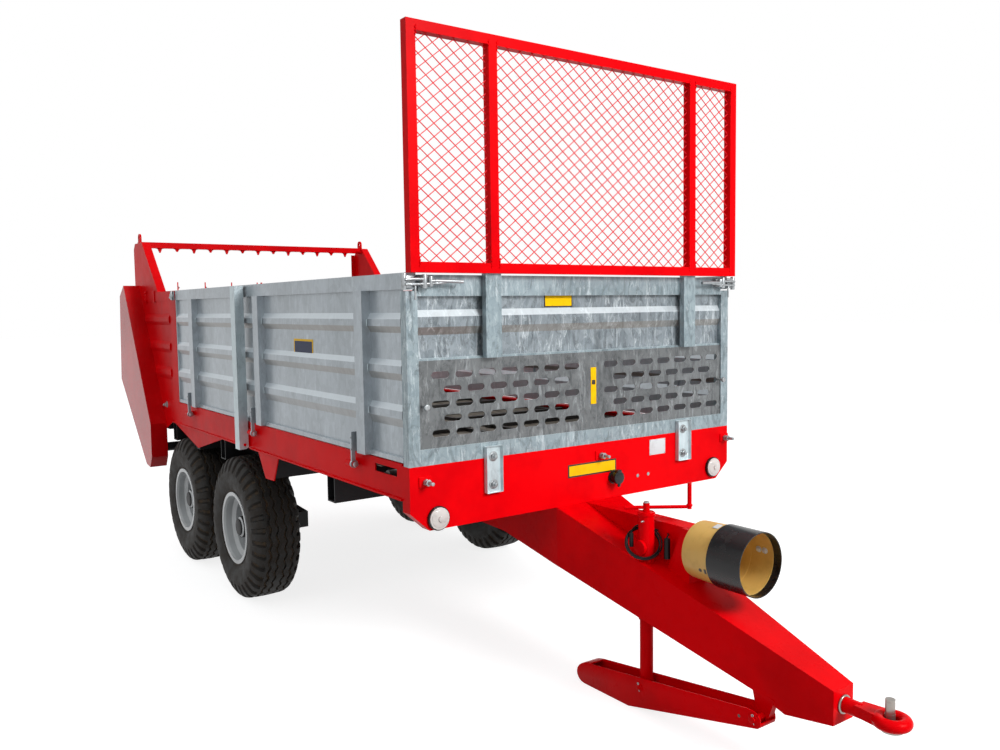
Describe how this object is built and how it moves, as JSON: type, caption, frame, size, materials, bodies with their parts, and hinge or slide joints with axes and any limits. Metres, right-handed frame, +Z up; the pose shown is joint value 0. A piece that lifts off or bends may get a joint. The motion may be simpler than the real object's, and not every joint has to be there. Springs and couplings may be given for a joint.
{
  "type": "manure spreader",
  "caption": "Towed tandem-axle manure spreader with two lying rear beaters, corrugated galvanised sides, mesh front guard and red drawbar on its jack foot.",
  "frame": {"origin": "middle of the footprint of the whole machine, on the floor it is parked on", "axes": "+Y along the machine from the towing eye to the beaters, +X to the machine's left, +Z up"},
  "size_m": [2.14, 5.941, 2.82],
  "materials": {
    "red_paint": "gloss",
    "galvanised": "satin",
    "black_paint": "satin",
    "tyre": "matte",
    "rim_paint": "satin",
    "bare_steel": "satin",
    "yellow_plastic": "gloss",
    "black_plastic": "matte"
  },
  "bodies": {
    "chassis": {"axle_hangers": "black_paint", "beater_bearings": "bare_steel", "chain_cover": "red_paint", "conveyor_drive": "red_paint", "conveyor_left": "black_paint", "conveyor_right": "black_paint", "conveyor_shafts": "black_paint", "cross_members": "black_paint", "drawbar": "red_paint", "front_brackets": "galvanised", "front_grille": "galvanised", "front_lamps": "galvanised", "front_wall_frame": "galvanised", "front_wall_sheet": "galvanised", "gearbox": "black_paint", "guard_frame": "red_paint", "guard_mesh_back": "red_paint", "guard_mesh_front": "red_paint", "headstock": "red_paint", "hitch_pin": "bare_steel", "jack_tube": "red_paint", "light_cable_coil": "black_plastic", "light_cable_plugs": "black_plastic", "light_cable_tails": "black_plastic", "lighting_socket": "black_plastic", "load_floor": "galvanised", "rear_posts": "red_paint", "rear_top_beam": "red_paint", "rear_wall_left": "red_paint", "rear_wall_right": "red_paint", "rocker_axles": "black_paint", "shaft_guard_cone": "yellow_plastic", "shaft_guard_plate": "yellow_plastic", "shaft_guard_ring": "black_plastic", "side_beams": "red_paint", "towing_eye": "red_paint"},
    "wheel_front_right": {"tyre_front_right": "tyre", "rim_front_right": "rim_paint"},
    "wheel_rear_right": {"tyre_rear_right": "tyre", "rim_rear_right": "rim_paint"},
    "wheel_front_left": {"tyre_front_left": "tyre", "rim_front_left": "rim_paint"},
    "wheel_rear_left": {"tyre_rear_left": "tyre", "rim_rear_left": "rim_paint"},
    "input_shaft": {"drive_shaft": "bare_steel"},
    "beater_upper": {"beater_upper": "red_paint"},
    "beater_lower": {"beater_lower": "red_paint"},
    "parking_foot": {"parking_foot": "red_paint"},
    "jack_leg": {"jack_leg": "red_paint"},
    "side_board_right": {"side_board_right": "galvanised"},
    "side_board_left": {"side_board_left": "galvanised"},
    "side_post_right": {"side_post_right": "galvanised"},
    "side_post_left": {"side_post_left": "galvanised"}
  },
  "joints": [
    {"name": "wheel_front_right_roll", "type": "hinge", "parent": "chassis", "child": "wheel_front_right", "pos_m": [-0.858, 0.6505, 0.4225], "axis": [1, 0, 0], "continuous": true},
    {"name": "wheel_rear_right_roll", "type": "hinge", "parent": "chassis", "child": "wheel_rear_right", "pos_m": [-0.858, 1.6465, 0.4225], "axis": [1, 0, 0], "continuous": true},
    {"name": "wheel_front_left_roll", "type": "hinge", "parent": "chassis", "child": "wheel_front_left", "pos_m": [0.858, 0.6505, 0.4225], "axis": [1, 0, 0], "continuous": true},
    {"name": "wheel_rear_left_roll", "type": "hinge", "parent": "chassis", "child": "wheel_rear_left", "pos_m": [0.858, 1.6465, 0.4225], "axis": [1, 0, 0], "continuous": true},
    {"name": "input_shaft_turn", "type": "hinge", "parent": "chassis", "child": "input_shaft", "pos_m": [0, -1.4135, 0.722], "axis": [0, 1, 0], "continuous": true},
    {"name": "beater_upper_turn", "type": "hinge", "parent": "chassis", "child": "beater_upper", "pos_m": [0, 2.7365, 1.69], "axis": [1, 0, 0], "continuous": true},
    {"name": "beater_lower_turn", "type": "hinge", "parent": "chassis", "child": "beater_lower", "pos_m": [0, 2.6165, 1.178], "axis": [1, 0, 0], "continuous": true},
    {"name": "parking_foot_swing", "type": "hinge", "parent": "chassis", "child": "parking_foot", "pos_m": [-0.094, -2.4635, 0.19], "axis": [1, 0, 0], "range_deg": [0, 16.2]},
    {"name": "jack_leg_lift", "type": "slide", "parent": "chassis", "child": "jack_leg", "axis": [0, 0, 1], "range_m": [0, 0.17]},
    {"name": "side_board_right_drop", "type": "hinge", "parent": "chassis", "child": "side_board_right", "pos_m": [-0.985, 0.1165, 1.03], "axis": [0, -1, 0], "range_deg": [0, 90]},
    {"name": "side_board_left_drop", "type": "hinge", "parent": "chassis", "child": "side_board_left", "pos_m": [0.985, 0.1165, 1.03], "axis": [0, 1, 0], "range_deg": [0, 90]},
    {"name": "side_post_right_drop", "type": "hinge", "parent": "chassis", "child": "side_post_right", "pos_m": [-0.992, 0.4335, 0.951], "axis": [0, -1, 0], "range_deg": [0, 90]},
    {"name": "side_post_left_drop", "type": "hinge", "parent": "chassis", "child": "side_post_left", "pos_m": [0.992, 0.4335, 0.951], "axis": [0, 1, 0], "range_deg": [0, 90]}
  ],
  "couplings": [
    {"joint": "jack_leg_lift", "follows": "parking_foot_swing", "m_per_rad": 0.5942},
    {"joint": "side_post_right_drop", "follows": "side_board_right_drop", "ratio": 1},
    {"joint": "side_post_left_drop", "follows": "side_board_left_drop", "ratio": 1}
  ]
}
